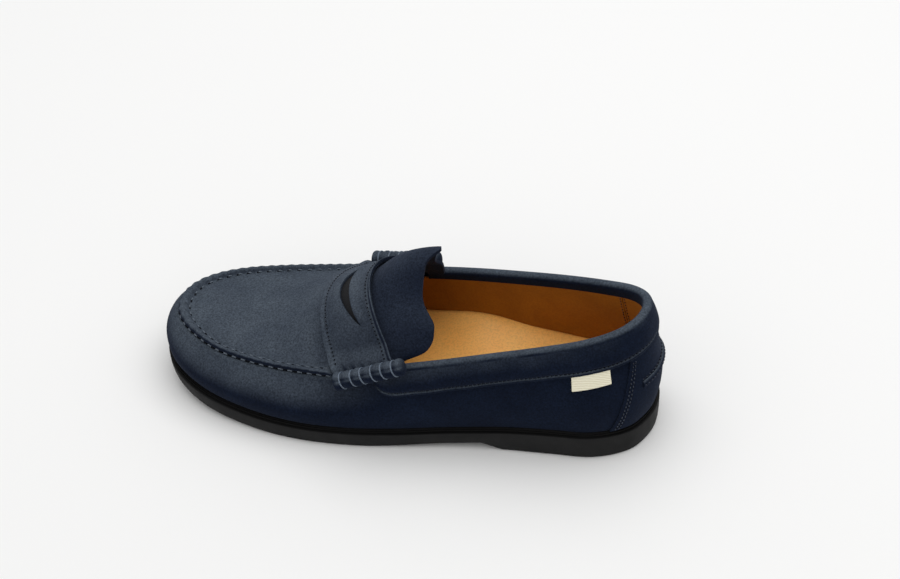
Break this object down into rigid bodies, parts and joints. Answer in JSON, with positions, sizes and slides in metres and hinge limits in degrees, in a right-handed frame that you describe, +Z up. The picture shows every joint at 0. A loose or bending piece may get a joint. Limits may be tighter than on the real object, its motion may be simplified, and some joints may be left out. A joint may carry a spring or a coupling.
{
  "type": "penny loafer",
  "caption": "Left slip-on penny loafer in suede, with a hand-sewn apron, rolled strap ends, an upright tongue and a low rubber sole.",
  "frame": {"origin": "on the ground, under the middle of the shoe's length and width", "axes": "+X towards the toe, +Y towards the outer side of this left shoe, +Z up"},
  "size_m": [0.2928, 0.11, 0.1087],
  "materials": {
    "rubber": "matte black moulded rubber",
    "suede": "navy suede with a short nap",
    "lining": "smooth tan leather",
    "thread": "waxed navy thread",
    "label": "cream ribbed woven tape",
    "board": "fibre board",
    "cork": "ground cork",
    "foam": "open latex foam",
    "stiffener": "resin-stiffened cloth",
    "steel": "spring steel"
  },
  "bodies": {
    "shoe": {"outsole": "rubber", "forefoot_tread": "rubber", "heel_tread": "rubber", "insole_board": "board", "footbed": "foam", "sock": "lining", "forepart_filler": "cork", "shank": "steel", "vamp": "suede", "heel_counter": "stiffener", "toe_puff": "stiffener", "collar_foam": "foam", "heel_lining": "lining", "quarter_lining_lateral": "lining", "quarter_lining_medial": "lining", "vamp_lining": "lining", "collar": "suede", "backstay": "suede", "heel_band": "suede", "apron": "suede", "apron_lining": "lining", "saddle_strap": "suede", "beefroll_lateral": "suede", "beefroll_thread_lateral": "thread", "beefroll_medial": "suede", "beefroll_thread_medial": "thread", "apron_seam_thread": "thread"},
    "tongue_flap": {"tongue": "suede"},
    "label_tape": {"side_label": "label"}
  },
  "joints": [
    {"name": "tongue_flex", "type": "hinge", "parent": "shoe", "child": "tongue_flap", "pos_m": [0.01653, -0.00168, 0.079], "axis": [0, 1, 0], "range_deg": [-3, 10], "stiffness_Nm_per_rad": 0.3},
    {"name": "label_flip", "type": "hinge", "parent": "shoe", "child": "label_tape", "pos_m": [-0.11117, 0.0314, 0.05838], "axis": [0.9439, 0.2703, -0.1899], "range_deg": [0, 75], "stiffness_Nm_per_rad": 0.001}
  ]
}
